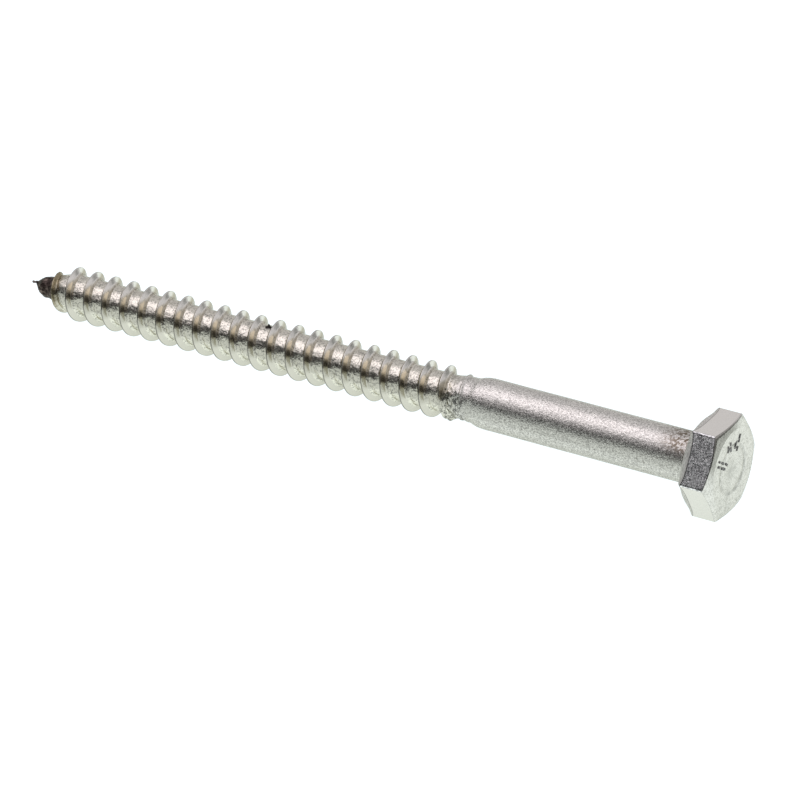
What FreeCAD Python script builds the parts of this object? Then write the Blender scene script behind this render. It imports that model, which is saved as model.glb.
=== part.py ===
"""Hex lag screw, 1/4-10 x 3-1/2 in, stainless steel: one cold-headed, thread-rolled piece.

Millimetres, +Z up. The origin is the centre of the bearing face under the head.
+X runs along the axis out through the head, so the shank, thread and point are on -X.
Two of the head's flats are level: the screw lies on one of them, with a thread crest
as its other support. A direction round the axis is an angle from +Z towards -Y.
"""
import FreeCAD, Part
import Sketcher
import math
import os
from FreeCAD import Vector

DIMENSIONS = [
    # alias, value, meaning
    ("across_flats", 10.7, "hexagon, flat to flat"),
    ("corner_radius", 0.25, "rounding of the hexagon's six corners"),
    ("head_height", 3.9, "bearing face to end face"),
    ("end_face_diameter", 9.3, "flat circle inside the end bevel"),
    ("end_bevel_angle", 20, "degrees between the end face and its bevel"),
    ("bearing_face_diameter", 9.7, "flat circle that meets the work"),
    ("bearing_bevel_angle", 21, "degrees between the bearing face and its bevel"),
    ("dimple_diameter", 5.8, "shallow hollow in the end face"),
    ("dimple_depth", 0.12, "its depth at the axis"),
    ("under_head_radius", 0.4, "fillet between shank and bearing face"),
    ("nominal_length", 88.9, "bearing face to point, 3-1/2 in"),
    ("shank_diameter", 5.9, "plain shank"),
    ("shank_length", 27.1, "bearing face to the end of the plain shank"),
    ("shoulder_length", 1.1, "taper from shank to neck"),
    ("neck_diameter", 5.2, "foot of the shoulder, where the rolled part starts"),
    ("neck_length", 3.3, "taper from neck to thread root"),
    ("root_diameter", 4.55, "thread root"),
    ("cone_length", 5.3, "end of the root cylinder to the point"),
    ("point_length", 1.8, "steeper last part of the cone"),
    ("point_base_diameter", 2.44, "where the steeper part starts"),
    ("point_tip_diameter", 0.3, "where the burr starts"),
    ("burr_length", 0.7, "sliver left on the point by the rolling dies"),
    ("burr_diameter", 0.12, "thin end of the burr"),
    ("pitch", 2.54, "thread pitch, 10 per inch"),
    ("crest_diameter", 6.3, "thread crest"),
    ("crest_width", 0.16, "flat on the crest"),
    ("thread_angle", 60, "degrees between the flanks"),
    ("last_crest_offset", 32.47, "bearing face to the last full crest, at the screw's top"),
    ("thread_turns", 20, "turns from the last full crest to the first one"),
]

# The thread's ridge: turns from the first full crest, and the ridge's height over the
# core as a share of the full height. It fades in at the point and out at the neck.
RIDGE_START = [(-1.40, 0.05), (-1.09, 0.50), (-0.59, 0.75), (-0.10, 1.0)]
RIDGE_END = [(0.10, 1.0), (0.45, 0.75), (0.90, 0.25), (1.30, 0.05), (1.60, 0.05)]

POINTS_PER_TURN = 24
COLLAR_GAP = 0.05          # from the ridge's ends to the circles where the threaded part ends


def make_sheet(doc):
    """The driving dimensions: meaning, value and alias, one row each."""
    sheet = doc.addObject("Spreadsheet::Sheet", "dimensions")
    for row, (alias, value, meaning) in enumerate(DIMENSIONS, start=1):
        sheet.set(f"A{row}", meaning)
        sheet.set(f"B{row}", str(value))
        sheet.setAlias(f"B{row}", alias)
    doc.recompute()
    return sheet


def named(text):
    """An expression with each dimension's alias pointed at the sheet."""
    aliases = {alias for alias, _, _ in DIMENSIONS}
    words = text.split()
    return " ".join(f"dimensions.{word}" if word in aliases else word for word in words)


def value_of(sheet, text):
    """What an expression comes to."""
    return float(sheet.evalExpression(named(text)))


# --- sketches -------------------------------------------------------------------------

def origin_feature(body, role):
    """One of a body's own origin planes or axes."""
    return next(item for item in body.Origin.OriginFeatures if item.Role == role)


def new_sketch(body, name, plane_role):
    """An empty sketch on one of the body's origin planes."""
    sketch = body.newObject("Sketcher::SketchObject", name)
    sketch.AttachmentSupport = [(origin_feature(body, plane_role), "")]
    sketch.MapMode = "FlatFace"
    return sketch


def add_polygon(sketch, points):
    """A closed loop of lines, joined end to start."""
    corners = [Vector(x, y, 0) for x, y in points]
    for start, end in zip(corners, corners[1:] + corners[:1]):
        sketch.addGeometry(Part.LineSegment(start, end))
    for line in range(len(corners)):
        following = (line + 1) % len(corners)
        sketch.addConstraint(Sketcher.Constraint("Coincident", line, 2, following, 1))


def place_vertex(sketch, line, position):
    """Bind a line's start point to two expressions, or to an axis where one is "0"."""
    for kind, axis, text in zip(("DistanceX", "DistanceY"), (-2, -1), position):
        if text == "0":
            sketch.addConstraint(Sketcher.Constraint("PointOnObject", line, 1, axis))
            continue
        constraint = Sketcher.Constraint(kind, -1, 1, line, 1, 1.0)
        index = sketch.addConstraint(constraint)
        sketch.setExpression(f"Constraints[{index}]", named(text))


def half_section(body, sheet, name, outline):
    """A closed outline beside the axis: each vertex is an X and a radius, as expressions."""
    sketch = new_sketch(body, name, "XZ_Plane")
    add_polygon(sketch, [[value_of(sheet, text) for text in vertex] for vertex in outline])
    for line, vertex in enumerate(outline):
        place_vertex(sketch, line, vertex)
    return sketch


# --- the blank: head, shank, core and point -------------------------------------------

def add_hexagon(body, sheet):
    """The head's prism, with a level flat at the top and at the bottom."""
    sketch = new_sketch(body, "hexagon_profile", "YZ_Plane")
    radius = value_of(sheet, "across_flats / sqrt(3)")
    angles = [math.radians(60 * corner) for corner in range(6)]
    add_polygon(sketch, [(radius * math.cos(angle), radius * math.sin(angle)) for angle in angles])
    circle = sketch.addGeometry(Part.Circle(Vector(0, 0, 0), Vector(0, 0, 1), radius), True)
    sketch.addConstraint(Sketcher.Constraint("Coincident", circle, 3, -1, 1))
    sketch.addConstraint(Sketcher.Constraint("PointOnObject", 0, 1, -1))
    for side in range(6):
        sketch.addConstraint(Sketcher.Constraint("PointOnObject", side, 1, circle))
    for side in range(1, 6):
        sketch.addConstraint(Sketcher.Constraint("Equal", 0, side))
    width = sketch.addConstraint(Sketcher.Constraint("Radius", circle, radius))
    sketch.setExpression(f"Constraints[{width}]", named("across_flats / sqrt(3)"))
    pad = body.newObject("PartDesign::Pad", "hexagon_head")
    pad.Profile = sketch
    pad.setExpression("Length", named("head_height"))
    return pad


def add_fillet(body, name, base, radius, is_wanted):
    """Round the edges of the last feature that pass a test."""
    body.Document.recompute()
    numbered = enumerate(base.Shape.Edges, start=1)
    edges = [f"Edge{number}" for number, edge in numbered if is_wanted(edge)]
    feature = body.newObject("PartDesign::Fillet", name)
    feature.Base = (base, edges)
    feature.setExpression("Radius", named(radius))
    return feature


def add_turned(body, kind, name, sketch):
    """Turn a half section once about the screw's axis, adding or cutting."""
    feature = body.newObject(kind, name)
    feature.Profile = sketch
    feature.ReferenceAxis = (origin_feature(body, "X_Axis"), [""])
    feature.Angle = 360
    return feature


def is_along_axis(edge):
    """True for a straight edge that runs along X."""
    is_line = isinstance(edge.Curve, Part.Line)
    return is_line and abs(edge.tangentAt(edge.FirstParameter).x) > 0.999


def add_bevels(body, sheet):
    """Turn off the hexagon's corners towards the end face and towards the bearing face."""
    reach = "across_flats"
    end_radius = "end_face_diameter / 2"
    end_drop = f"( {reach} - {end_radius} ) * tan( end_bevel_angle )"
    add_turned(body, "PartDesign::Groove", "end_bevel", half_section(
        body, sheet, "end_bevel_section", [
            ("head_height", end_radius),
            ("head_height", reach),
            (f"head_height - {end_drop}", reach),
        ]))
    bearing_radius = "bearing_face_diameter / 2"
    bearing_drop = f"( {reach} - {bearing_radius} ) * tan( bearing_bevel_angle )"
    add_turned(body, "PartDesign::Groove", "bearing_bevel", half_section(
        body, sheet, "bearing_bevel_section", [
            ("0", bearing_radius),
            (bearing_drop, reach),
            ("0", reach),
        ]))


def add_dimple(body, sheet):
    """The shallow hollow that the heading punch leaves in the end face."""
    return add_turned(body, "PartDesign::Groove", "dimple", half_section(
        body, sheet, "dimple_section", [
            ("head_height", "0"),
            ("head_height", "dimple_diameter / 2"),
            ("head_height - dimple_depth", "dimple_diameter / 3"),
            ("head_height - dimple_depth", "0"),
        ]))


def shank_outline(end):
    """From the bearing face to the thread: each vertex is an X and a radius, as expressions.

    end is the X and the radius where the threaded part takes over.
    """
    return [
        ("0", "0"),
        ("0", "shank_diameter / 2"),
        ("-1 * shank_length", "shank_diameter / 2"),
        ("-1 * ( shank_length + shoulder_length )", "neck_diameter / 2"),
        (f"{end[0]:.6f}", f"{end[1]:.6f}"),
        (f"{end[0]:.6f}", "0"),
    ]


def point_outline(start):
    """From the thread's start to the end of the burr, as expressions."""
    return [
        (f"{start[0]:.6f}", "0"),
        (f"{start[0]:.6f}", f"{start[1]:.6f}"),
        ("point_length - nominal_length", "point_base_diameter / 2"),
        ("-1 * nominal_length", "point_tip_diameter / 2"),
        ("-1 * ( nominal_length + burr_length )", "burr_diameter / 2"),
        ("-1 * ( nominal_length + burr_length )", "0"),
    ]


def make_head_and_shank(doc, sheet, end):
    """The upset head and the unrolled shank, down to where the thread ends."""
    body = doc.addObject("PartDesign::Body", "head_and_shank")
    hexagon = add_hexagon(body, sheet)
    add_fillet(body, "corner_rounding", hexagon, "corner_radius", is_along_axis)
    add_bevels(body, sheet)
    add_dimple(body, sheet)
    section = half_section(body, sheet, "shank_section", shank_outline(end))
    shank = add_turned(body, "PartDesign::Revolution", "shank_and_neck", section)
    shank_radius = value_of(sheet, "shank_diameter / 2")

    def is_under_head(edge):
        is_circle = isinstance(edge.Curve, Part.Circle)
        return is_circle and abs(edge.Curve.Center.x) < 1e-6 and (
            abs(edge.Curve.Radius - shank_radius) < 1e-6)

    add_fillet(body, "under_head_fillet", shank, "under_head_radius", is_under_head)
    doc.recompute()
    return body


def make_point(doc, sheet, start):
    """The pinched end of the cone, with the sliver that the rolling dies leave on it."""
    body = doc.addObject("PartDesign::Body", "point")
    section = half_section(body, sheet, "point_section", point_outline(start))
    add_turned(body, "PartDesign::Revolution", "cone_and_burr", section)
    doc.recompute()
    return body


# --- the threaded part ----------------------------------------------------------------

def between(table, position):
    """A value read from a table of (position, value) points, joined by straight lines."""
    for (low, low_value), (high, high_value) in zip(table, table[1:]):
        if position <= high:
            share = max(0.0, (position - low) / (high - low))
            return low_value + share * (high_value - low_value)
    return table[-1][1]


class Thread:
    """The rolled part: a core, and a right-hand helical ridge that stands on it.

    Four helical lines carry it: the ridge's base and crest on the point's side, then its
    crest and base on the head's side. Faces are ruled between them, one turn at a time,
    and the root is ruled from one turn's last line to the next turn's first.
    """

    def __init__(self, sheet):
        self.sheet = sheet
        self.pitch = self.size("pitch")
        self.turns = self.size("thread_turns")
        self.first_crest_x = -self.size("last_crest_offset") - self.turns * self.pitch
        self.slope = math.tan(math.radians(self.size("thread_angle / 2")))
        self.crest_half = self.size("crest_width / 2")
        self.full_height = self.size("crest_diameter / 2 - root_diameter / 2")
        self.heights = RIDGE_START + [(self.turns + turn, share) for turn, share in RIDGE_END]
        self.core = self.core_profile()
        self.start = self.heights[0][0]
        self.count = round(self.heights[-1][0] - self.start)
        self.lines = [self.helical_line(side) for side in range(4)]
        low = self.corner(self.start, 0)[0] - COLLAR_GAP
        high = self.corner(self.start + self.count, 3)[0] + COLLAR_GAP
        self.rims = [(x, between(self.core, x)) for x in (low, high)]

    def size(self, text):
        return value_of(self.sheet, text)

    def core_profile(self):
        """(X, radius) of the metal under the ridge, from the point to the neck."""
        neck = "-1 * ( shank_length + shoulder_length )"
        vertices = [
            ("-1 * nominal_length", "point_tip_diameter / 2"),
            ("point_length - nominal_length", "point_base_diameter / 2"),
            ("cone_length - nominal_length", "root_diameter / 2"),
            (f"{neck} - neck_length", "root_diameter / 2"),
            (neck, "neck_diameter / 2"),
        ]
        return [(self.size(x), self.size(radius)) for x, radius in vertices]

    def corner(self, turn, side):
        """X and radius of the ridge's section on one of the four lines."""
        middle = self.first_crest_x + self.pitch * turn
        height = self.full_height * between(self.heights, turn)
        if side in (1, 2):
            offset = self.crest_half if side == 2 else -self.crest_half
            return middle + offset, between(self.core, middle) + height
        offset = self.crest_half + height * self.slope
        x = middle + (offset if side == 3 else -offset)
        return x, between(self.core, x)

    def helical_line(self, side):
        """A smooth curve through one corner of the section, with turns as its parameter."""
        steps = self.count * POINTS_PER_TURN
        turns = [self.start + step / POINTS_PER_TURN for step in range(steps + 1)]
        points = []
        for turn in turns:
            x, radius = self.corner(turn, side)
            angle = 2 * math.pi * turn
            points.append(Vector(x, -radius * math.sin(angle), radius * math.cos(angle)))
        curve = Part.BSplineCurve()
        curve.interpolate(points, Parameters=turns)
        return curve

    def piece(self, side, first, last):
        """The part of a line between two turns."""
        curve = self.lines[side].copy()
        curve.segment(first, last)
        return curve.toShape()

    def collar(self, rim, turn, side, first):
        """Close the core beyond one end of the ridge: a disc, and two half rings.

        The rings run from one turn of a line, which starts at the turn named first, to the
        circle where the threaded part meets its neighbour.
        """
        x, radius = rim
        angle = 2 * math.pi * turn
        circle = Part.Circle(Vector(x, 0, 0), Vector(1, 0, 0), radius)
        circle.XAxis = Vector(0, -math.sin(angle), math.cos(angle))
        arcs = [circle.toShape(0, math.pi), circle.toShape(math.pi, 2 * math.pi)]
        faces = [Part.Face(Part.Wire(arcs))]
        for half, arc in enumerate(arcs):
            edge = self.piece(side, first + half / 2, first + (half + 1) / 2)
            faces.append(Part.makeRuledSurface(edge, arc))
        return faces

    def cap(self, turn):
        """The tiny flat end of the ridge."""
        points = [line.value(turn) for line in self.lines]
        return Part.Face(Part.makePolygon(points + points[:1]))

    def solid(self):
        """All the faces, sewn into one closed solid."""
        faces = []
        last = self.start + self.count
        for number in range(self.count):
            low, high = self.start + number, self.start + number + 1
            for side in range(3):
                pair = [self.piece(side, low, high), self.piece(side + 1, low, high)]
                faces.append(Part.makeRuledSurface(*pair))
            if number < self.count - 1:
                root = [self.piece(3, low, high), self.piece(0, low + 1, high + 1)]
                faces.append(Part.makeRuledSurface(*root))
        faces += self.collar(self.rims[0], self.start, 0, self.start)
        faces += self.collar(self.rims[1], last, 3, last - 1)
        faces += [self.cap(self.start), self.cap(last)]
        shell = Part.makeShell(faces)
        shell.sewShape()
        return Part.makeSolid(shell)


def make_thread(doc, thread):
    """The threaded part as an object of its own."""
    feature = doc.addObject("Part::Feature", "wood_thread")
    feature.Shape = thread.solid()
    feature.Placement = FreeCAD.Placement()
    return feature


# --- the whole screw ------------------------------------------------------------------

def make_screw(doc, pieces):
    """One piece of metal: head, shank, thread and point are not separable."""
    screw = doc.addObject("Part::MultiFuse", "lag_screw")
    screw.Label = "lag_screw"
    screw.Shapes = pieces
    doc.recompute()
    return screw


def check(doc, screw):
    """Stop if an object failed, or if the screw isn't one closed solid."""
    for item in doc.Objects:
        if "Invalid" in item.State or "Error" in item.State:
            raise RuntimeError(f"{item.Name} failed: {item.State}")
    shape = screw.Shape
    if shape.isNull() or not shape.isValid() or len(shape.Solids) != 1:
        raise RuntimeError(f"lag_screw is not one valid solid: {len(shape.Solids)} solids")


def print_volumes(doc):
    """Volume after each feature, so that one that adds or cuts nothing shows."""
    for item in doc.Objects:
        shape = getattr(item, "Shape", None)
        if shape is not None and shape.Solids:
            print(f"{item.Name}: {shape.Volume:.3f} mm3")


def main():
    doc = FreeCAD.newDocument("lag_screw")
    sheet = make_sheet(doc)
    thread = Thread(sheet)
    head_and_shank = make_head_and_shank(doc, sheet, thread.rims[1])
    point = make_point(doc, sheet, thread.rims[0])
    wood_thread = make_thread(doc, thread)
    screw = make_screw(doc, [head_and_shank, wood_thread, point])
    print_volumes(doc)
    check(doc, screw)
    os.makedirs("parts", exist_ok=True)
    screw.Shape.exportStep(f"parts/{screw.Label}.step")
    box = screw.Shape.BoundBox
    print(f"X {box.XMin:.3f} to {box.XMax:.3f}")
    print(f"Y {box.YMin:.3f} to {box.YMax:.3f}")
    print(f"Z {box.ZMin:.3f} to {box.ZMax:.3f}")


main()
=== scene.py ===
import math

import bpy
import numpy as np
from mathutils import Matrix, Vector, noise


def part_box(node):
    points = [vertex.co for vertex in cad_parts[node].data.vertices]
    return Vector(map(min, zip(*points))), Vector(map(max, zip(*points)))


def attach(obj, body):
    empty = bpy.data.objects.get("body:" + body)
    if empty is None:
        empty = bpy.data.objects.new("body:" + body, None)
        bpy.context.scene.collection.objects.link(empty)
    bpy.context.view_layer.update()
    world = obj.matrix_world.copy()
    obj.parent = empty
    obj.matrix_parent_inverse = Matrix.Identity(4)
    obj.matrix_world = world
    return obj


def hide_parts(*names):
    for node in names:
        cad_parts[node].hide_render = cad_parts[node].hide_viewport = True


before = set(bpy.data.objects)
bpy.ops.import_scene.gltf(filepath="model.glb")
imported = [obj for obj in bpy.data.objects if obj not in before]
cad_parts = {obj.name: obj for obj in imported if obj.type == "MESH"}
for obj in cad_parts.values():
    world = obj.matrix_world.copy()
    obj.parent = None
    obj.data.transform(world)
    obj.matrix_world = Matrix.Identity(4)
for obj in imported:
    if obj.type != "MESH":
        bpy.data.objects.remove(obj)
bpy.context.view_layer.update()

# The looks of a stainless steel hex lag screw, in the CAD frame, in metres. The screw's
# axis is X: the head is at the origin and the point is on -X. Shapes are worked out in
# millimetres and scaled once. A direction round the axis is an angle from +Z towards -Y.

MM = 0.001
low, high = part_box("lag_screw")

# --- sizes, in millimetres, as in the CAD model ---------------------------------------

HEAD_HEIGHT = high.x / MM
FLAT_DISTANCE = high.z / MM    # axis to a flat
BURR_END = low.x / MM
CORNER_ROUND = 0.25
END_FACE_RADIUS = 4.65
END_BEVEL = math.tan(math.radians(20))
BEARING_RADIUS = 4.9
BEARING_EDGE = 0.5             # bearing face to the flats' back edge, at a corner
ROLL_OVER = 0.37               # how much further that edge is at the middle of a flat
ROLLED_TURN = math.radians(60)   # how far that edge curls before its crease
EDGE_GAP = 0.05                # width of the small strips along a flat's ends
FRONT_FLAT = math.radians(60)  # the front flat's direction round the axis
BEVEL_SHADE_CORNER = (3.5, -2.65, 4.6)   # middle of the painted shade on the bevel, at the top of that flat
SHANK_RADIUS = 2.95
FILLET = 0.4
PITCH = 2.54
ROOT_RADIUS = 2.275
CREST_RADIUS = 3.15
CREST_HALF = 0.05
FLANK = math.tan(math.radians(60))   # rise over run of a flank
LAST_CREST = -32.47            # X of the last full crest, at angle 0
TURNS = 20                     # from the last full crest to the first
FIRST_CREST = LAST_CREST - TURNS * PITCH
FULL_HEIGHT = CREST_RADIUS - ROOT_RADIUS

# Metal under the ridge: (X, radius), from the point to the shank.
CORE = [(-88.85, 0.18), (-88.55, 0.48), (-88.05, 0.95), (-87.6, 1.18), (-87.2, 1.25),
        (-86.6, 1.33), (-85.4, 1.78), (-83.9, 2.24), (-83.2, ROOT_RADIUS),
        (-31.6, ROOT_RADIUS), (-31.0, 2.36), (-30.2, 2.50), (-29.0, 2.53), (-28.5, 2.62),
        (-28.0, 2.80), (-27.5, 2.90), (-26.9, SHANK_RADIUS), (0.0, SHANK_RADIUS)]

# How far the cut-off stub hangs down, by X, and which way: (Y, Z).
SAG_SIDE = (-0.54, -0.84)
STUB_SAG = [(-89.0, 0.0), (-88.4, 0.11), (-87.5, 0.13), (-86.6, 0.05), (-86.0, 0.0)]

# The ridge's height as a share of the full height, by turns from the first full crest
# and by turns past the last one.
RISE = [(-1.62, 0.0), (-1.35, 0.25), (-1.09, 0.52), (-0.59, 0.70), (-0.10, 1.0)]
FADE = [(0.10, 1.0), (0.45, 0.72), (0.70, 0.42), (0.91, 0.19), (1.30, 0.16), (1.50, 0.0)]
RIDGE = RISE + [(TURNS + turn, share) for turn, share in FADE]

DARK_SPOT = (-56.37, 0.12, 2.42)   # a speck of scale stuck in one root
SPECK_HEIGHT, SPECK_RADIUS = 0.45, 0.21

# The end face: (distance from the axis, depth), and the height of the lumps all over it.
END_FACE_PROFILE = [(0, -0.115), (0.9, -0.10), (1.5, -0.07), (2.1, -0.055), (2.5, -0.075),
                    (2.75, -0.105), (2.9, -0.10), (3.05, -0.04), (3.25, -0.008),
                    (3.5, -0.014), (4.2, -0.004), (END_FACE_RADIUS, 0.0)]
END_FACE_LUMPS = 0.012

# Raised dashes on the end face: the middle of each group in degrees, and their radii.
MARK_GROUPS = [(-21, (2.3, 3.0, 3.7)), (14, (2.6, 3.2)), (57, (1.9, 2.5, 3.1, 3.7))]
LONG_DASH, SHORT_DASH = (0.30, 0.16), (0.20, 0.15)       # half length, half width
DASH_HALF_GAP = 0.27           # from a group's middle line to a dash's
DASH_STAGGER = 0.2             # how much further out a short dash lies than its neighbour
DASH_ROOT = 0.03               # how deep a dash is rooted in the face
DASH_STEPS = [(0.0, 0.0), (0.09, 0.03), (0.105, 0.05)]   # (rise, how much it draws in)

# Numbers of the finishes, in the order that make_finishes gives them.
BODY, FLATS, END_FACE, POINT, MARKS, ROLLED_EDGE, EDGE_LINE = range(7)

# --- mesh resolution ------------------------------------------------------------------

COLUMNS = 96                   # vertices round the axis, one every 3.75 degrees
# Rows of one pitch, as distances from the crest: close together where it curves.
HALF_PITCH_ROWS = [0.05, 0.09, 0.18, 0.30, 0.40, 0.48, 0.56, 0.66, 0.80, 1.02]
PITCH_ROWS = [-PITCH / 2] + [-row for row in reversed(HALF_PITCH_ROWS)] + [0.0] + HALF_PITCH_ROWS
FIRST_TURN, LAST_TURN = -1, TURNS + 1   # turns whose rows follow the helix
COLLAR_ROWS = 26               # rows between the helix and the plain rings beyond it
THREAD_LOW, THREAD_HIGH = -87.75, -28.2
POINT_TURN = -1.20             # the dark finish ends this many turns from the first crest
FULL_TURN = 2 * math.pi
ANGLES = np.arange(COLUMNS) * FULL_TURN / COLUMNS
SHANK_STEP = 0.13              # between the rings of the plain shank
NOISE_RADIUS = 2.5             # wobble is read on a tube this wide, so it has no seam


def between(table, position):
    """Values read from a table of (position, value) points, joined by straight lines."""
    places, values = zip(*table)
    return np.interp(position, places, values)


def smooth_max(a, b, blend):
    """The larger of two heights, with the corner between them rounded off."""
    share = np.clip(0.5 + 0.5 * (a - b) / blend, 0, 1)
    return b * (1 - share) + a * share + blend * share * (1 - share)


def wobble(x, angle, grain, seed, stretch=1.0):
    """Smooth noise on the surface, about -1 to 1. grain is a bump's size in mm."""
    x, angle = np.broadcast_arrays(x, angle)
    out = np.empty(x.shape)
    for index in np.ndindex(x.shape):
        turned = angle[index]
        place = Vector((x[index] * stretch, NOISE_RADIUS * math.cos(turned),
                        NOISE_RADIUS * math.sin(turned)))
        out[index] = noise.noise(place / grain + Vector((seed, 2 * seed, 0)))
    return out


# --- the mesh, gathered as vertices and faces -----------------------------------------

class Skin:
    """Vertices and faces of the whole screw, each face with the number of its finish."""

    def __init__(self):
        self.places = []
        self.faces = []
        self.finishes = []

    def add_rows(self, x, angle, radius, shift=(0.0, 0.0)):
        """Vertices in rows round the axis. Returns their numbers, one row to a line."""
        x, angle, radius = np.broadcast_arrays(x, angle, radius)
        first = len(self.places)
        sag = between(STUB_SAG, x)
        y = -radius * np.sin(angle) + shift[0] + SAG_SIDE[0] * sag
        z = radius * np.cos(angle) + shift[1] + SAG_SIDE[1] * sag
        self.places.extend(np.stack([x, y, z], -1).reshape(-1, 3).tolist())
        return np.arange(first, first + x.size).reshape(x.shape)

    def add_face(self, corners, finish):
        self.faces.append([int(corner) for corner in corners])
        self.finishes.append(finish)

    def bridge(self, rows, finish, closed=True):
        """Quads between neighbouring rows, all the way round if closed."""
        columns = rows.shape[1]
        for lower, upper in zip(rows, rows[1:]):
            for column in range(columns if closed else columns - 1):
                beside = (column + 1) % columns
                corners = (lower[column], lower[beside], upper[beside], upper[column])
                self.add_face(corners, finish)

    def zip_chains(self, left, right, finish):
        """Triangles between two chains of vertices that both run towards the head."""
        a, b = 0, 0
        while a < len(left) - 1 or b < len(right) - 1:
            ahead = math.inf if a == len(left) - 1 else self.places[left[a + 1]][0]
            beside = math.inf if b == len(right) - 1 else self.places[right[b + 1]][0]
            if ahead <= beside:
                self.add_face((left[a], right[b], left[a + 1]), finish)
                a += 1
            else:
                self.add_face((left[a], right[b], right[b + 1]), finish)
                b += 1


# --- thread, shank and point ----------------------------------------------------------

def threaded_radius(x, angle):
    """Radius of the rolled surface at each X and angle, ridge and core together."""
    turned = angle / FULL_TURN
    centre = np.round((x - FIRST_CREST) / PITCH - turned) + turned
    crest_x = FIRST_CREST + PITCH * centre
    offset = np.abs(x - crest_x)
    core = between(CORE, x)
    share = between(RIDGE, centre)
    ragged = 0.022 * wobble(crest_x, angle, grain=1.1, seed=5)
    top = between(CORE, crest_x) + FULL_HEIGHT * share + ragged * np.minimum(share * 4, 1)
    flank = top - np.maximum(offset - CREST_HALF, 0) * FLANK
    blend = 0.2 * np.clip(share + 0.15, 0, 1)
    rolled = smooth_max(flank, core, blend)
    return np.where(share > 0.02, rolled, core)


def speck_of_scale(x, angle):
    """Height of the dark speck, a small steep lump."""
    turned = angle - math.atan2(-DARK_SPOT[1], DARK_SPOT[2])
    turned = turned - FULL_TURN * np.round(angle / FULL_TURN)
    away = np.hypot(x - DARK_SPOT[0], ROOT_RADIUS * turned)
    return SPECK_HEIGHT * np.exp(-(away / SPECK_RADIUS) ** 4)


def dents(x, angle):
    """Rolling marks: lumps in the root, a crumpled band at the neck, a ragged tip."""
    lumps = 0.03 * wobble(x, angle, grain=0.8, seed=11, stretch=0.8)
    lumps = lumps + 0.02 * wobble(x, angle, grain=0.34, seed=17)
    root = np.clip((ROOT_RADIUS + 0.35 - threaded_radius(x, angle)) / 0.3, 0, 1)
    crumple = between([(-32.2, 0), (-31.2, 1), (-29.6, 1), (-28.9, 0)], x)
    under = 0.35 + 0.65 * np.clip(np.cos(angle - math.radians(110)), 0, 1)
    creases = 0.17 * wobble(x, angle, grain=0.42, seed=23, stretch=1.6)
    tip = between([(-89.0, 1), (-87.2, 0.5), (-86.5, 0)], x)
    tip = tip * 0.16 * wobble(x, angle, grain=0.55, seed=31)
    on_thread = between([(-87.5, 0), (-86, 1), (-31, 1), (-29, 0.3), (-27, 0)], x)
    rolled = lumps * root * on_thread + creases * crumple * under
    return rolled + tip + speck_of_scale(x, angle)


def surface(x, angle):
    """Radius of the screw anywhere between the point and the plain shank."""
    return threaded_radius(x, angle) + dents(x, angle)


def darken_stub(skin):
    """Give the faces between the tip and the ridge's start the finish of the point."""
    for number, corners in enumerate(skin.faces):
        if skin.finishes[number] == BODY:
            x, y, z = np.mean([skin.places[corner] for corner in corners], axis=0)
            turned = (math.atan2(-y, z) / FULL_TURN + 0.2) % 1.0 - 0.2
            if (x - FIRST_CREST) / PITCH - turned < POINT_TURN:
                skin.finishes[number] = POINT


def add_collar(skin, start, end, shares):
    """Rows that change from the plain ring's X to the helix's, or back, by their shares."""
    x = start + (end - start) * shares[:, None]
    return skin.add_rows(x, ANGLES[None, :], surface(x, ANGLES[None, :]))


def add_thread(skin):
    """Rows that follow the helix, joined to plain rings at both ends.

    One step along the seam, from the last column to the first, is one whole pitch.
    """
    per_turn = len(PITCH_ROWS)
    starts = [turn * PITCH + row for turn in range(FIRST_TURN, LAST_TURN) for row in PITCH_ROWS]
    starts.append(LAST_TURN * PITCH + PITCH_ROWS[0])
    last = len(starts) - 1
    angle = ANGLES[None, :]
    lead = PITCH * angle / FULL_TURN
    x = FIRST_CREST + np.array(starts)[:, None] + lead
    helix = skin.add_rows(x, angle, surface(x, angle))
    skin.bridge(helix, BODY, closed=False)
    for row in range(last - per_turn):
        skin.add_face((helix[row, -1], helix[row + per_turn, 0],
                       helix[row + per_turn + 1, 0], helix[row + 1, -1]), BODY)

    shares = np.arange(COLLAR_ROWS) / COLLAR_ROWS
    below = np.vstack([add_collar(skin, THREAD_LOW, x[:1], shares), helix[:1]])
    skin.bridge(below, BODY, closed=False)
    right = np.concatenate([below[:, 0], helix[1:per_turn + 1, 0]])
    skin.zip_chains(below[:, -1], right, BODY)

    shares = shares + 1 / COLLAR_ROWS
    above = np.vstack([helix[-1:], add_collar(skin, x[-1:], THREAD_HIGH, shares)])
    skin.bridge(above, BODY, closed=False)
    left = np.concatenate([helix[last - per_turn:last, -1], above[:, -1]])
    skin.zip_chains(left, above[:, 0], BODY)
    return below[0], above[-1]


def add_point(skin, ring):
    """The ragged cone, and the bent sliver left on its end."""
    rings = []
    for place in (-88.2, -88.5, -88.65, -88.75):
        x = np.full((1, COLUMNS), place)
        rings.append(skin.add_rows(x, ANGLES, surface(x, ANGLES)))
    # X, radius, and the middle's Y and Z
    sliver = [(-88.85, 0.16, 0.02, 0.10), (-89.05, 0.11, 0.04, 0.12), (-89.25, 0.09, 0.0, 0.05),
              (-89.45, 0.12, -0.03, 0.08), (BURR_END + 0.03, 0.04, -0.05, 0.12)]
    for place, radius, y, z in sliver:
        flattened = radius * (1 - 0.35 * np.cos(2 * ANGLES + place))
        x = np.full((1, COLUMNS), place)
        rings.append(skin.add_rows(x, ANGLES, flattened, (y, z)))
    rows = np.vstack([ring[None, :]] + rings)[::-1]
    skin.bridge(rows, POINT)
    skin.add_face(rows[0][::-1], POINT)


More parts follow.
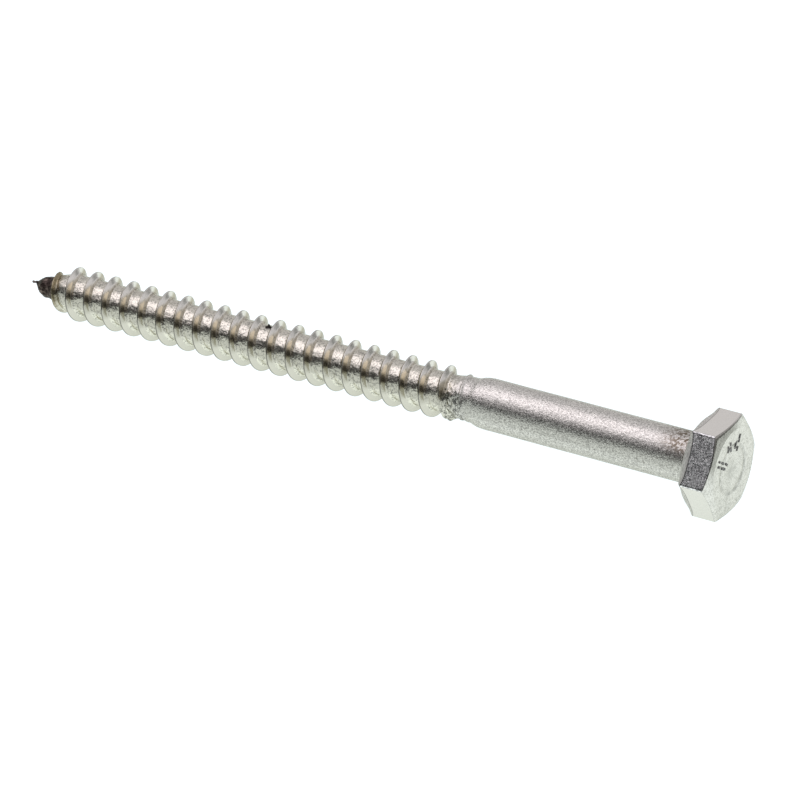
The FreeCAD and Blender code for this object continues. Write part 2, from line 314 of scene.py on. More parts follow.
def add_shank(skin, ring):
    """Plain rings from the shoulder to the bearing face, with the fillet under the head."""
    rows = [ring[None, :]]
    x = np.arange(THREAD_HIGH + SHANK_STEP, -FILLET, SHANK_STEP)[:, None]
    uneven = 0.012 * wobble(x, ANGLES[None, :], grain=2.6, seed=41, stretch=0.5)
    rows.append(skin.add_rows(x, ANGLES[None, :], between(CORE, x) + uneven))
    turned = np.radians(np.arange(0, 91, 15))[:, None]
    rows.append(skin.add_rows(-FILLET + FILLET * np.sin(turned), ANGLES[None, :],
                              SHANK_RADIUS + FILLET * (1 - np.cos(turned))))
    rows = np.vstack(rows)
    skin.bridge(rows, BODY)
    return rows[-1]


# --- head -----------------------------------------------------------------------------

def hexagon():
    """Angle, radius and place along the flat (0 in the middle, 1 at a corner) by column."""
    per_flat = COLUMNS // 6
    half_side = FLAT_DISTANCE / math.sqrt(3)
    tangent = CORNER_ROUND * math.tan(math.radians(30))
    straight = (half_side - tangent) / half_side
    on_flat = [0, 0.17, 0.34, 0.51, 0.68, 0.86, straight]   # shares of half a side
    on_corner = [16, 30]                                    # degrees round the corner
    points = []
    for column in range(COLUMNS):
        flat = (column + per_flat // 2 - 1) // per_flat
        step = column - per_flat * flat
        side = 1 if step >= 0 else -1
        step = abs(step)
        if step < len(on_flat):
            along, out = on_flat[step] * half_side, FLAT_DISTANCE
        else:
            turn = math.radians(on_corner[step - len(on_flat)])
            along = half_side - tangent + CORNER_ROUND * math.sin(turn)
            out = FLAT_DISTANCE - CORNER_ROUND * (1 - math.cos(turn))
        angle = math.radians(60 * flat) + side * math.atan2(along, out)
        points.append((angle, math.hypot(along, out), along / half_side))
    return np.array(points).T


def add_underside(skin, ring, back, hexagon_angle, hexagon_radius):
    """The bearing face, and the edge that curls from it to the flats."""
    rows = [ring[None, :]]
    inner = SHANK_RADIUS + FILLET
    for share in (0.25, 0.5, 0.75, 1):
        spread = ANGLES + (hexagon_angle - ANGLES) * share
        size = inner + (BEARING_RADIUS - inner) * share
        rows.append(skin.add_rows(np.zeros((1, COLUMNS)), spread, size))
    for turned in ROLLED_TURN * np.array([0.14, 0.29, 0.43, 0.57, 0.71, 0.86, 1]):
        x = back * (1 - math.cos(turned)) / (1 - math.cos(ROLLED_TURN))
        outward = math.sin(turned) / math.sin(ROLLED_TURN)
        size = BEARING_RADIUS + (hexagon_radius - BEARING_RADIUS) * outward
        rows.append(skin.add_rows(x[None, :], hexagon_angle, size))
    rows = np.vstack(rows)
    skin.bridge(rows, ROLLED_EDGE)
    return rows[-1]


def add_flats(skin, ring, back, front, angle, radius):
    """The six flats, with a thin line at the back and at the front of each."""
    rows = [ring[None, :]]
    for share in (0.02, 0.17, 0.33, 0.5, 0.67, 0.83, 0.985, 1):
        x = back + EDGE_GAP + (front - back - 2 * EDGE_GAP) * share
        rows.append(skin.add_rows(x[None, :], angle, radius))
    rows = np.vstack(rows)
    skin.bridge(rows[:2], EDGE_LINE)
    skin.bridge(rows[1:-1], FLATS)
    skin.bridge(rows[-2:], EDGE_LINE)
    return rows[-1]


def add_bevel(skin, ring, front, angle, radius):
    """The bevel that takes the flats' front ends in to the round end face."""
    rows = [ring[None, :]]
    for share in (0, 0.33, 0.66, 1):
        inward = EDGE_GAP + (radius - END_FACE_RADIUS - 2 * EDGE_GAP) * share
        x = front + inward * END_BEVEL
        rows.append(skin.add_rows(x[None, :], angle, radius - inward))
    rows = np.vstack(rows)
    skin.bridge(rows, END_FACE)
    return rows[-1]


def add_head(skin, ring):
    """The whole head from the shank's fillet to the end face."""
    angle, radius, along = hexagon()
    back = BEARING_EDGE + ROLL_OVER * (1 - along ** 4)
    front = HEAD_HEIGHT - (radius - END_FACE_RADIUS) * END_BEVEL
    ring = add_underside(skin, ring, back, angle, radius)
    ring = add_flats(skin, ring, back, front, angle, radius)
    ring = add_bevel(skin, ring, front, angle, radius)
    add_end_face(skin, ring, angle)


def end_face_height(radius):
    """X of the end face: a low rim, a ring pressed by the punch, a shallow hollow inside."""
    return HEAD_HEIGHT - END_FACE_LUMPS + between(END_FACE_PROFILE, radius)


def add_end_face(skin, ring, angle):
    """Rings from the bevel in to the middle of the end face."""
    rows = [ring[None, :]]
    sizes = [4.59, 4.4, 4.1, 3.8, 3.5, 3.25, 3.1, 3.0, 2.9, 2.8, 2.7, 2.6, 2.4, 2.1, 1.8,
             1.5, 1.2, 0.9, 0.6, 0.3, 0.1]
    for size in sizes:
        lumps = END_FACE_LUMPS * wobble(np.full(COLUMNS, size * 1.3), angle, grain=1.2, seed=53)
        x = end_face_height(size) + lumps * min(1, size)
        rows.append(skin.add_rows(x[None, :], angle, size))
    rows = np.vstack(rows)
    skin.bridge(rows, END_FACE)
    skin.add_face(rows[-1], END_FACE)


def add_marks(skin):
    """Three groups of small raised dashes on the end face, with no meaning."""
    for middle, radii in MARK_GROUPS:
        for number, radius in enumerate(radii):
            turned = math.degrees(DASH_HALF_GAP / radius)
            side = 1 if number % 2 else -1
            add_dash(skin, middle + turned * side, radius, *LONG_DASH)
            if number % 3 != 2:
                add_dash(skin, middle - turned * side, radius + DASH_STAGGER, *SHORT_DASH)


def add_dash(skin, degrees, radius, half_length, half_width):
    """One low dash that lies along the radius, with sloping sides."""
    angle = math.radians(degrees)
    outward = np.array([-math.sin(angle), math.cos(angle)])
    across = np.array([-math.cos(angle), -math.sin(angle)])
    base = end_face_height(radius) - DASH_ROOT
    rings = []
    for rise, slack in DASH_STEPS:
        first = len(skin.places)
        for along, side in ((-1, -1), (-1, 1), (1, 1), (1, -1)):
            place = outward * (radius + along * (half_length - slack))
            place = place + across * side * (half_width - slack)
            skin.places.append([base + rise, float(place[0]), float(place[1])])
        rings.append([first + corner for corner in range(4)])
    for lower, upper in zip(rings, rings[1:]):
        for corner in range(4):
            beside = (corner + 1) % 4
            skin.add_face((lower[corner], lower[beside], upper[beside], upper[corner]), MARKS)
    skin.add_face(rings[-1], MARKS)
    skin.add_face(rings[0][::-1], MARKS)


def make_screw():
    """The screw as one closed mesh."""
    skin = Skin()
    low_ring, high_ring = add_thread(skin)
    add_point(skin, low_ring)
    bearing_ring = add_shank(skin, high_ring)
    add_head(skin, bearing_ring)
    add_marks(skin)
    darken_stub(skin)
    mesh = bpy.data.meshes.new("lag_screw_skin")
    mesh.from_pydata((np.array(skin.places) * MM).tolist(), [], skin.faces)
    mesh.polygons.foreach_set("material_index", skin.finishes)
    mesh.polygons.foreach_set("use_smooth", [finish != MARKS for finish in skin.finishes])
    mesh.update()
    screw = bpy.data.objects.new("lag_screw_skin", mesh)
    bpy.context.scene.collection.objects.link(screw)
    return screw


# --- finishes -------------------------------------------------------------------------

GLANCING_TINT = (0.76, 0.75, 0.70)   # of the metal seen along its surface


class Nodes:
    """A material with a metal shader, and short ways to add nodes to it."""

    def __init__(self, name, roughness):
        self.material = bpy.data.materials.new(name)
        self.material.use_nodes = True
        self.tree = self.material.node_tree
        self.shader = self.tree.nodes["Principled BSDF"]
        self.shader.inputs["Metallic"].default_value = 1.0
        self.shader.inputs["Roughness"].default_value = roughness
        self.shader.inputs["Specular Tint"].default_value = (*GLANCING_TINT, 1)
        self.place = self.add("ShaderNodeTexCoord").outputs["Object"]

    def add(self, kind, **settings):
        """A new node with its settings."""
        node = self.tree.nodes.new(kind)
        for key, value in settings.items():
            setattr(node, key, value)
        return node

    def link(self, source, target):
        self.tree.links.new(source, target)

    def mapped(self, stretch):
        """The place on the screw in millimetres, stretched along each axis."""
        node = self.add("ShaderNodeMapping")
        self.link(self.place, node.inputs["Vector"])
        node.inputs["Scale"].default_value = [factor / MM for factor in stretch]
        return node.outputs["Vector"]

    def beside_front_flat(self, size):
        """The place turned so that X and Y lie in the front flat, over a stroke's size in mm."""
        node = self.add("ShaderNodeMapping", vector_type="TEXTURE")
        self.link(self.place, node.inputs["Vector"])
        node.inputs["Rotation"].default_value = (FRONT_FLAT, 0, 0)
        node.inputs["Scale"].default_value = [length * MM for length in size]
        return node.outputs["Vector"]

    def in_front_flat(self, axis):
        """A coordinate in metres: X and Y lie in the front flat, Z stands on it."""
        split = self.add("ShaderNodeSeparateXYZ")
        self.link(self.beside_front_flat((1 / MM, 1 / MM, 1 / MM)), split.inputs["Vector"])
        return split.outputs[axis]

    def on_front_flat(self):
        """1 on the front flat and 0 away from it."""
        height = self.in_front_flat("Z")
        return self.fade(height, FLAT_DISTANCE - 0.12, FLAT_DISTANCE - 0.02)

    def strokes(self, size):
        """Noise drawn out into strokes that lie in the front flat."""
        node = self.add("ShaderNodeTexNoise")
        self.link(self.beside_front_flat(size), node.inputs["Vector"])
        node.inputs["Scale"].default_value = 1.0
        node.inputs["Detail"].default_value = 2.0
        return node.outputs["Fac"]

    def noise(self, grain, detail=2.0, stretch=(1, 1, 1), rough=0.5):
        """Cloudy noise from 0 to 1 whose patches are about grain millimetres across."""
        node = self.add("ShaderNodeTexNoise")
        self.link(self.mapped(stretch), node.inputs["Vector"])
        node.inputs["Scale"].default_value = 1 / grain
        node.inputs["Detail"].default_value = detail
        node.inputs["Roughness"].default_value = rough
        return node.outputs["Fac"]

    def ramp(self, value, stops):
        """A value turned into a colour, or into grey where the stops hold numbers."""
        node = self.add("ShaderNodeValToRGB")
        self.link(value, node.inputs["Fac"])
        elements = node.color_ramp.elements
        while len(elements) < len(stops):
            elements.new(0.5)
        for element, (position, shade) in zip(elements, stops):
            element.position = position
            element.color = (*shade, 1) if isinstance(shade, tuple) else (shade, shade, shade, 1)
        return node.outputs["Color"]

    def mix(self, factor, a, b, kind="MIX"):
        """Two colours mixed; each of the three may be a socket or a constant."""
        node = self.add("ShaderNodeMix", data_type="RGBA", blend_type=kind)
        for socket, value in ((node.inputs["Factor"], factor), (node.inputs["A"], a),
                              (node.inputs["B"], b)):
            if hasattr(value, "is_linked"):
                self.link(value, socket)
            elif isinstance(value, tuple):
                socket.default_value = (*value, 1)
            else:
                socket.default_value = value
        return node.outputs["Result"]

    def both(self, mask, *others):
        """Masks multiplied: 1 only where every one of them is 1."""
        for other in others:
            mask = self.mix(1.0, mask, other, "MULTIPLY")
        return mask

    def along(self, axis, start, end):
        """0 to 1 as one coordinate goes from start to end, in millimetres."""
        split = self.add("ShaderNodeSeparateXYZ")
        self.link(self.place, split.inputs["Vector"])
        return self.fade(split.outputs[axis], start, end)

    def from_axis(self, start, end):
        """0 to 1 as the distance from the axis goes from start to end, in millimetres."""
        across = self.add("ShaderNodeVectorMath", operation="MULTIPLY")
        self.link(self.place, across.inputs[0])
        across.inputs[1].default_value = (0, 1, 1)
        length = self.add("ShaderNodeVectorMath", operation="LENGTH")
        self.link(across.outputs["Vector"], length.inputs[0])
        return self.fade(length.outputs["Value"], start, end)

    def facing_head(self):
        """0 to 1 as the surface turns towards the head."""
        split = self.add("ShaderNodeSeparateXYZ")
        self.link(self.add("ShaderNodeTexCoord").outputs["Normal"], split.inputs["Vector"])
        # fade multiplies by MM. A normal has no unit, so that is undone here.
        return self.fade(split.outputs["X"], 0.25 / MM, 0.55 / MM)

    def close_to(self, place, start, end):
        """0 to 1 as the distance from a place goes from start to end, in millimetres."""
        node = self.add("ShaderNodeVectorMath", operation="DISTANCE")
        self.link(self.place, node.inputs[0])
        node.inputs[1].default_value = Vector(place) * MM
        return self.fade(node.outputs["Value"], start, end)

    def fade(self, value, start, end):
        """0 to 1 as a length in metres goes from start to end, in millimetres."""
        node = self.add("ShaderNodeMapRange", interpolation_type="SMOOTHSTEP")
        self.link(value, node.inputs["Value"])
        node.inputs["From Min"].default_value = start * MM
        node.inputs["From Max"].default_value = end * MM
        return node.outputs["Result"]

    def bump(self, layers):
        """Bumps laid over each other: (height socket, depth in mm)."""
        normal = None
        for height, depth in layers:
            node = self.add("ShaderNodeBump")
            node.inputs["Strength"].default_value = 1.0
            node.inputs["Distance"].default_value = depth * MM
            self.link(height, node.inputs["Height"])
            if normal:
                self.link(normal, node.inputs["Normal"])
            normal = node.outputs["Normal"]
        self.link(normal, self.shader.inputs["Normal"])

    def colour(self, socket):
        self.link(socket, self.shader.inputs["Base Color"])

    def roughness(self, socket):
        self.link(socket, self.shader.inputs["Roughness"])


def grey(share):
    """A constant strength or roughness, in the form of a colour."""
    return (share, share, share)


# Strength of bumps and folds where they are faint, and where they are full.
FAINT, FULL = grey(0.13), grey(1.0)

# Bare metal, and some painted light and shade, noted where it stands.
# The brighter flank colour is a painted highlight for the top of the thread's flanks.
FLANK_PALE, FLANK_TOP_HIGHLIGHT = (0.62, 0.595, 0.50), (0.76, 0.74, 0.66)
SATIN_PALE, SATIN, SATIN_BRIGHT = (0.55, 0.535, 0.48), (0.53, 0.515, 0.465), (0.74, 0.72, 0.64)
DRAWN, DRAWN_BRIGHT = (0.725, 0.705, 0.632), (0.755, 0.735, 0.658)
SCRATCH_DARK, SCRATCH_BRIGHT = (0.36, 0.36, 0.35), (1.0, 0.99, 0.94)
CURLED_DARK, CURLED = (0.44, 0.435, 0.39), (0.72, 0.705, 0.64)
PUNCHED, PUNCHED_PALE = (0.64, 0.625, 0.56), (0.75, 0.73, 0.655)
PUNCHED_DARK, PUNCHED_BRIGHT = (0.36, 0.35, 0.31), (0.77, 0.75, 0.68)
# Painted shade for the bevel at the top of the front flat.
BEVEL_SHADE_DARK, BEVEL_SHADE = (0.27, 0.26, 0.225), (0.40, 0.39, 0.34)
WORN_RING, WORN_MIDDLE = (0.38, 0.375, 0.335), (0.42, 0.415, 0.37)
STEEL_DARK = (0.26, 0.25, 0.22)

# Stains, oxide and dark folds, and painted shade, noted where it stands.
STAIN_BROWN, STAIN_OLIVE = (0.15, 0.12, 0.085), (0.26, 0.215, 0.125)
# The neck's lap colour and the crest line are painted shade; the root's folds are the metal's
# own.
ROOT_FOLD, NECK_LAP_SHADE, CREST_SHADE_LINE = (0.15, 0.145, 0.125), (0.05, 0.05, 0.045), (0.13, 0.125, 0.105)
SPECK_BLACK = (0.02, 0.018, 0.015)
# Painted shade for a line along the front flat's long edges.
FLAT_EDGE_SHADE = (0.30, 0.30, 0.28)
# Painted shade for the strips along the flats' ends, darkest beside the front flat.
EDGE_SHADE, EDGE_DEEP_SHADE = (0.40, 0.39, 0.35), (0.16, 0.16, 0.15)
# Painted shade over the raised dashes.
DASH_SHADE_DARK, DASH_SHADE_LIGHT = (0.09, 0.085, 0.08), (0.30, 0.29, 0.28)
OXIDE_BLACK, OXIDE_DARK = (0.012, 0.010, 0.009), (0.055, 0.04, 0.034)
OXIDE_BROWN = (0.22, 0.18, 0.15)

# Painted shade and painted light, which the colour under them is multiplied by: brown and grey
# shade on thread and shank, light in the lower roots.
FLANK_BROWN_SHADE, SIDE_GREY_SHADE, LOW_ROOT_LIGHT = (0.70, 0.66, 0.59), (0.80, 0.80, 0.79), (1.25, 1.26, 1.24)


def shank_colour(n, speck):
    """Satin, finely specked, with a brown stain at the top next to the head."""
    cloud = n.ramp(n.noise(1.6, 3.0, (0.5, 1, 1)), [(0.35, 0.0), (0.65, 1.0)])
    dark_specks = n.ramp(speck, [(0.34, 1.0), (0.49, 0.0)])
    bright_specks = n.ramp(speck, [(0.50, 0.0), (0.60, 1.0)])
    base = n.mix(cloud, SATIN_PALE, SATIN)
    base = n.mix(dark_specks, base, STEEL_DARK)
    base = n.mix(bright_specks, base, SATIN_BRIGHT)
    near_head = n.along("X", -5.6, -1.8)
    top = n.along("Z", 0.5, 2.5)
    patches = n.ramp(n.noise(0.30, 4.0), [(0.44, 0.15), (0.56, 1.0)])
    return n.mix(n.both(near_head, top, patches), base, STAIN_BROWN)


def bare_thread_colour(n, fine, worms, root):
    """Flanks with a painted highlight at the top, and a root with small dark grains and folds.
    """
    # Painted highlight: the flanks turn lighter towards the top.
    base = n.mix(n.along("Z", 2.0, 2.7), FLANK_PALE, FLANK_TOP_HIGHLIGHT)
    base = n.mix(root, base, FLANK_PALE)
    grains = n.ramp(fine, [(0.34, 0.35), (0.46, 0.0)])
    folds = n.ramp(worms, [(0.42, 0.0), (0.46, 1.0), (0.49, 0.0)])
    base = n.mix(n.both(root, grains), base, STEEL_DARK)
    return n.mix(n.both(root, folds), base, ROOT_FOLD)


def thread_colour(n, fine, worms, root):
    """The bare thread with painted shade and painted light, a painted shade line on its crests,
    stains and a speck.
    """
    base = bare_thread_colour(n, fine, worms, root)
    shoulder = n.both(n.along("Z", 0.5, 1.0), n.along("Z", 2.6, 2.1))
    # Painted shade: flanks that face the head, on the upper sides, are multiplied browner and
    # darker.
    base = n.mix(n.both(shoulder, n.facing_head()), base, FLANK_BROWN_SHADE, "MULTIPLY")
    # Painted light: the roots on the lower side are multiplied lighter.
    lit_low_root = n.both(n.along("Z", -0.3, -1.0), root)
    base = n.mix(lit_low_root, base, LOW_ROOT_LIGHT, "MULTIPLY")
    # Painted shade: a dark line on the crests, stronger towards the bottom.
    crest = n.from_axis(3.085, 3.14)
    strength = n.mix(n.along("Z", 1.8, 0.6), grey(0.4), grey(0.72))
    base = n.mix(n.both(crest, strength), base, CREST_SHADE_LINE)
    near_point = n.along("X", -84.2, -85.4)
    patches = n.ramp(n.noise(1.0, 3.0), [(0.30, 0.7), (0.55, 1.0)])
    base = n.mix(n.both(near_point, patches), base, STAIN_OLIVE)
    return n.mix(n.close_to(DARK_SPOT, 0.52, 0.40), base, SPECK_BLACK)


def neck_folds(n):
    """Laps where the last ridge was rolled down, between thread and shank: real folds, coloured
    dark as painted shade, stronger towards the bottom.
    """
    neck = n.both(n.along("X", -32.1, -31.4), n.along("X", -28.9, -29.6))
    strength = n.mix(n.along("Z", 1.5, 0.5), FAINT, FULL)
    laps = n.ramp(n.noise(0.55, 3.0, (1.7, 1, 1)), [(0.40, 0.0), (0.45, 1.0), (0.53, 0.0)])
    return n.both(neck, strength, laps)


def body_steel():
    """Thread and shank: rolled metal that turns into a satin, specked finish at the neck, with
    painted shade along the sides and in the neck's laps.
    """
    n = Nodes("thread_and_shank_steel", 0.24)
    speck = n.noise(0.17, 3.0, (0.8, 1, 1), 0.75)
    worms = n.noise(0.42, 2.0)
    hollows = n.noise(0.7, 2.0, (0.5, 1, 1))
    root = n.from_axis(2.62, 2.40)
    shank = n.along("X", -31.6, -29.4)
    base = n.mix(shank, thread_colour(n, speck, worms, root), shank_colour(n, speck))
    # Painted shade: a grey band along both sides of thread and shank, about mid height.
    front = n.both(n.along("Z", 1.3, 0.7), n.along("Z", -0.8, -0.1))
    base = n.mix(front, base, SIDE_GREY_SHADE, "MULTIPLY")
    # Painted shade in the neck's laps.
    n.colour(n.mix(neck_folds(n), base, NECK_LAP_SHADE))
    rolled = n.ramp(n.noise(0.8, 3.0), [(0.3, 0.17), (0.7, 0.27)])
    satin = n.ramp(speck, [(0.3, 0.16), (0.7, 0.28)])
    n.roughness(n.mix(shank, n.mix(root, grey(0.15), rolled), satin))
    grains = n.both(speck, n.mix(shank, n.mix(root, FAINT, grey(0.5)), FULL))
    waves = n.both(worms, n.mix(shank, root, grey(0.3)))
    n.bump([(grains, 0.045), (waves, 0.065), (hollows, 0.02)])
    return n.material


def front_flat_shade_line(n):
    """1 on a thin line just inside the long edges of the front flat, where a painted shade line
    goes.
    """
    across = n.in_front_flat("Y")
    upper = n.both(n.fade(across, 2.80, 2.86), n.fade(across, 2.96, 2.92))
    lower = n.both(n.fade(across, -2.80, -2.86), n.fade(across, -2.96, -2.92))
    return n.mix(1.0, upper, lower, "ADD")


def flats_steel():
    """Smooth flats from the die; the front one is scratched and rubbed in two directions, with a
    painted shade line along its long edges.
    """
    n = Nodes("head_drawn_steel", 0.18)
    strokes = n.strokes((0.42, 0.10, 0.5))
    streaks = n.strokes((0.09, 0.50, 0.5))
    grains = n.strokes((0.26, 0.11, 0.5))
    front = n.on_front_flat()
    plain = n.ramp(strokes, [(0.3, DRAWN), (0.7, DRAWN_BRIGHT)])
    scratched = n.ramp(grains, [(0.36, SCRATCH_DARK), (0.57, SCRATCH_BRIGHT)])
    # Painted shade: a dark line just inside the front flat's long edges.
    scratched = n.mix(front_flat_shade_line(n), scratched, FLAT_EDGE_SHADE)
    n.colour(n.mix(front, plain, scratched))
    smooth = n.ramp(streaks, [(0.3, 0.15), (0.7, 0.22)])
    rubbed = n.ramp(streaks, [(0.38, 0.10), (0.60, 0.36)])
    n.roughness(n.mix(front, smooth, rubbed))
    strength = n.mix(front, FAINT, FULL)
    worn_strokes = n.both(strength, strokes)
    worn_streaks = n.both(strength, streaks)
    n.bump([(worn_strokes, 0.024), (worn_streaks, 0.062), (n.noise(2.2, 2.0), 0.015)])
    return n.material


def rolled_edge_steel():
    """The edge that curls under the head: duller than the flats, with fine lines."""
    n = Nodes("head_rolled_edge_steel", 0.5)
    lines = n.noise(0.35, 3.0, (4, 1, 1))
    n.colour(n.ramp(lines, [(0.36, CURLED_DARK), (0.62, CURLED)]))
    n.bump([(lines, 0.02)])
    return n.material


def end_face_colour(n, fine):
    """Specked all over, with the punch's ring and the middle worn darker."""
    cloud = n.ramp(n.noise(1.1, 3.0), [(0.38, 0.0), (0.62, 1.0)])
    dark_specks = n.ramp(fine, [(0.34, 0.8), (0.49, 0.0)])
    bright_specks = n.ramp(fine, [(0.52, 0.0), (0.62, 0.9)])
    base = n.mix(cloud, PUNCHED, PUNCHED_PALE)
    base = n.mix(dark_specks, base, PUNCHED_DARK)
    base = n.mix(bright_specks, base, PUNCHED_BRIGHT)
    worn = n.ramp(n.noise(0.9, 2.0), [(0.38, 0.1), (0.60, 0.8)])
    ring = n.both(n.from_axis(2.35, 2.75), n.from_axis(3.12, 2.95))
    middle = n.from_axis(1.5, 0.3)
    base = n.mix(n.both(ring, worn), base, WORN_RING)
    return n.mix(n.both(middle, worn), base, WORN_MIDDLE)


def end_face_steel():
    """Matte face, marked all over by the punch, inside a smoother bevel with painted shade at
    the top of the front flat.
    """
    n = Nodes("end_face_punched_steel", 0.3)
    fine = n.noise(0.21, 3.0, (1, 1, 1), 0.75)
    bevel = n.from_axis(END_FACE_RADIUS - EDGE_GAP, END_FACE_RADIUS + EDGE_GAP)
    # Painted shade: the bevel turns dark round the top of the front flat, in place of a dark
    # reflection.
    corner = n.both(bevel, n.close_to(BEVEL_SHADE_CORNER, 5.4, 2.4))
    rubbed = n.ramp(fine, [(0.36, BEVEL_SHADE_DARK), (0.60, BEVEL_SHADE)])
    n.colour(n.mix(corner, end_face_colour(n, fine), rubbed))
    matte = n.ramp(fine, [(0.3, 0.20), (0.7, 0.32)])
    n.roughness(n.mix(bevel, matte, grey(0.15)))
    grains = n.both(fine, n.mix(bevel, FULL, grey(0.35)))
    n.bump([(grains, 0.03), (n.noise(0.6, 2.0), 0.02)])
    return n.material


def point_steel():
    """The point keeps rolling oil and oxide: nearly black, brown in places."""
    n = Nodes("point_oxidised_steel", 0.38)
    cloud = n.noise(0.45, 3.0)
    n.colour(n.ramp(cloud, [(0.34, OXIDE_BLACK), (0.52, OXIDE_DARK), (0.72, OXIDE_BROWN)]))
    n.roughness(n.ramp(cloud, [(0.3, 0.3), (0.7, 0.5)]))
    n.bump([(n.noise(0.18, 3.0), 0.05)])
    return n.material


def edge_line_shade_steel():
    """The line along a flat's ends: painted shade, dark all round and nearly black beside the
    front flat.
    """
    n = Nodes("edge_line_shade_steel", 0.35)
    n.colour(n.mix(n.on_front_flat(), EDGE_SHADE, EDGE_DEEP_SHADE))
    return n.material


def marks_steel():
    """The dashes: the same metal, coloured dark all over in patches as painted shade."""
    n = Nodes("dash_painted_shade_steel", 0.45)
    n.colour(n.ramp(n.noise(0.2, 2.0), [(0.3, DASH_SHADE_DARK), (0.7, DASH_SHADE_LIGHT)]))
    n.bump([(n.noise(0.12, 2.0), 0.02)])
    return n.material


def make_finishes():
    """The materials, in the order of their numbers BODY to EDGE_LINE."""
    return [body_steel(), flats_steel(), end_face_steel(), point_steel(), marks_steel(),
            rolled_edge_steel(), edge_line_shade_steel()]


# --- stage, light and camera ----------------------------------------------------------

# Where the screw rests on the floor, as X and Z in millimetres: on the back edge of its
# lowest flat, and on the first full crest.
HEAD_REST = (0.62, -FLAT_DISTANCE)
CREST_REST = (FIRST_CREST + PITCH / 2, -CREST_RADIUS)
TILT = math.atan2(CREST_REST[1] - HEAD_REST[1], HEAD_REST[0] - CREST_REST[0])
FLOOR_UP = Vector((math.sin(TILT), 0, math.cos(TILT)))

# Places and distances, in metres.
SCREW_MIDDLE = Vector((-0.042, 0, 0))
SOFTBOX_DISTANCE = 0.5
CAMERA_AIM = Vector((-0.0388, 0.0, -0.0026))
CAMERA_DISTANCE = 0.556
CAMERA_AZIMUTH, CAMERA_ELEVATION = math.radians(31.97), math.radians(28.49)

# Colours of the surroundings: all round, low in front, and low at both ends.
SURROUNDINGS = (0.78, 0.765, 0.83)
SHADE_IN_FRONT = (0.06, 0.06, 0.064)
SHADE_AT_ENDS = (0.22, 0.23, 0.235)


def make_floor():
    """A pale sheet under the screw, touched by a flat of the head and a crest."""
    bpy.ops.mesh.primitive_plane_add(size=3.0)
    floor = bpy.context.object
    floor.name = "floor"
    floor.rotation_euler = (0, TILT, 0)
    floor.location = Vector((HEAD_REST[0], 0, HEAD_REST[1])) * MM
    material = bpy.data.materials.new("floor_white")
    material.use_nodes = True
    shader = material.node_tree.nodes["Principled BSDF"]
    shader.inputs["Base Color"].default_value = (0.15, 0.15, 0.15, 1)
    shader.inputs["Roughness"].default_value = 0.9
    shader.inputs["Specular IOR Level"].default_value = 0.1
    shader.inputs["Emission Color"].default_value = (0.90, 0.975, 1.0, 1)
    shader.inputs["Emission Strength"].default_value = 1.07
    floor.data.materials.append(material)
    return floor


def add_softbox():
    """A rectangular lamp nearly overhead, tipped towards the front and the point."""
    lamp = bpy.data.lights.new("overhead_softbox", "AREA")
    lamp.shape = "RECTANGLE"
    lamp.size, lamp.size_y = 0.36, 0.56
    lamp.energy = 0.70
    lamp.color = (0.96, 0.885, 1.0)
    holder = bpy.data.objects.new("overhead_softbox", lamp)
    direction = Vector((-0.465, -0.15, 0.88)).normalized()
    holder.location = SCREW_MIDDLE + direction * SOFTBOX_DISTANCE
    holder.rotation_euler = direction.to_track_quat("Z", "Y").to_euler()
    bpy.context.scene.collection.objects.link(holder)


def fade(tree, value, start, end):
    """0 to 1 as a value goes from start to end."""
    node = tree.nodes.new("ShaderNodeMapRange")
    node.interpolation_type = "SMOOTHSTEP"
    node.inputs["From Min"].default_value = start
    node.inputs["From Max"].default_value = end
    tree.links.new(value, node.inputs["Value"])
    return node.outputs["Result"]


def multiply(tree, first, second):
    """The product of two values."""
    node = tree.nodes.new("ShaderNodeMath")
    node.operation = "MULTIPLY"
    tree.links.new(first, node.inputs[0])
    tree.links.new(second, node.inputs[1])
    return node.outputs["Value"]


def tint(tree, share, below, shade):
    """A constant colour or a socket, mixed with a shade by a share."""
    node = tree.nodes.new("ShaderNodeMix")
    node.data_type = "RGBA"
    tree.links.new(share, node.inputs["Factor"])
    if isinstance(below, tuple):
        node.inputs["A"].default_value = (*below, 1)
    else:
        tree.links.new(below, node.inputs["A"])
    node.inputs["B"].default_value = (*shade, 1)
    return node.outputs["Result"]


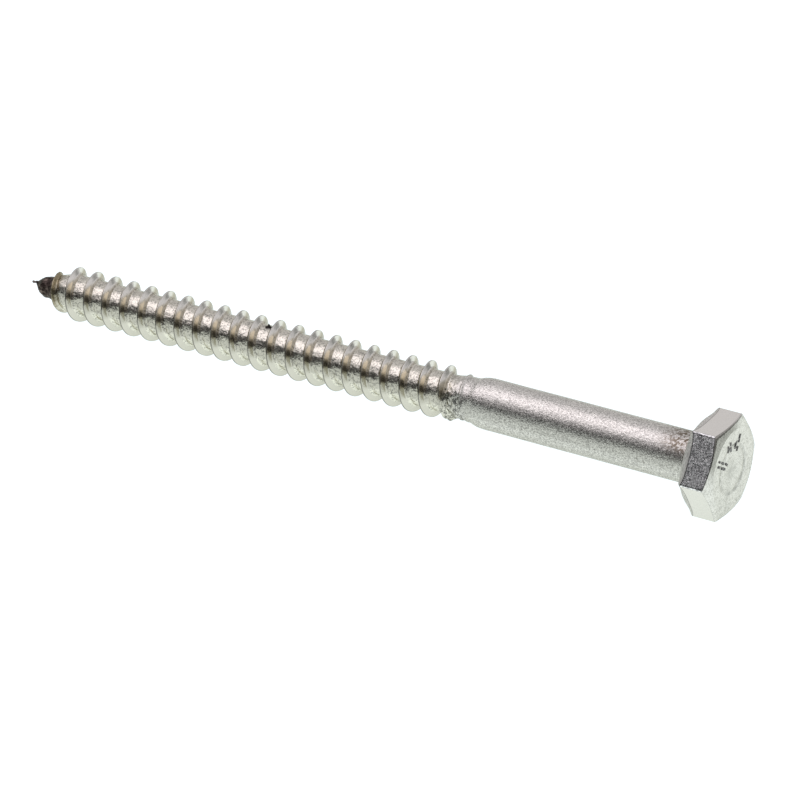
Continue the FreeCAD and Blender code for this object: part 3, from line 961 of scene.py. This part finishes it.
def make_world():
    """Soft surroundings: pale all round, dark low in front and low at both ends."""
    world = bpy.data.worlds.new("studio")
    bpy.context.scene.world = world
    world.use_nodes = True
    tree = world.node_tree
    place = tree.nodes.new("ShaderNodeTexCoord")
    split = tree.nodes.new("ShaderNodeSeparateXYZ")
    tree.links.new(place.outputs["Generated"], split.inputs["Vector"])
    x, y, z = (split.outputs[axis] for axis in "XYZ")
    right = multiply(tree, fade(tree, x, 0.1, 0.6), fade(tree, z, 0.30, 0.10))
    front = multiply(tree, fade(tree, y, 0.05, -0.5), fade(tree, z, 0.70, 0.46))
    left = multiply(tree, fade(tree, x, -0.6, -0.9), fade(tree, z, 0.35, 0.12))
    colour = tint(tree, right, SURROUNDINGS, SHADE_AT_ENDS)
    colour = tint(tree, left, colour, SHADE_AT_ENDS)
    colour = tint(tree, front, colour, SHADE_IN_FRONT)
    background = tree.nodes["Background"]
    tree.links.new(colour, background.inputs["Color"])
    background.inputs["Strength"].default_value = 1.0


def make_camera():
    """Looks down at the screw from in front of its head's end, level with the floor."""
    flat = math.cos(CAMERA_ELEVATION)
    back = Vector((math.sin(CAMERA_AZIMUTH) * flat, -math.cos(CAMERA_AZIMUTH) * flat,
                   math.sin(CAMERA_ELEVATION)))
    right = FLOOR_UP.cross(back).normalized()
    up = back.cross(right)
    data = bpy.data.cameras.new("camera")
    data.sensor_width = 36
    data.lens = 220
    data.clip_start = 0.01
    camera = bpy.data.objects.new("camera", data)
    turned = camera.matrix_world.copy()
    for row in range(3):
        turned[row][0], turned[row][1], turned[row][2] = right[row], up[row], back[row]
        turned[row][3] = (CAMERA_AIM + back * CAMERA_DISTANCE)[row]
    camera.matrix_world = turned
    bpy.context.scene.collection.objects.link(camera)
    bpy.context.scene.camera = camera


def main():
    """The screw in its finishes, on its stage, in place of the CAD's."""
    screw = make_screw()
    finishes = make_finishes()
    for material in finishes:
        screw.data.materials.append(material)
    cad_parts["lag_screw"].data.materials.clear()
    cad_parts["lag_screw"].data.materials.append(finishes[BODY])
    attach(screw, "root")
    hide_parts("lag_screw")
    make_floor()
    make_world()
    add_softbox()
    make_camera()
    bpy.context.scene.view_settings.view_transform = "Standard"


main()
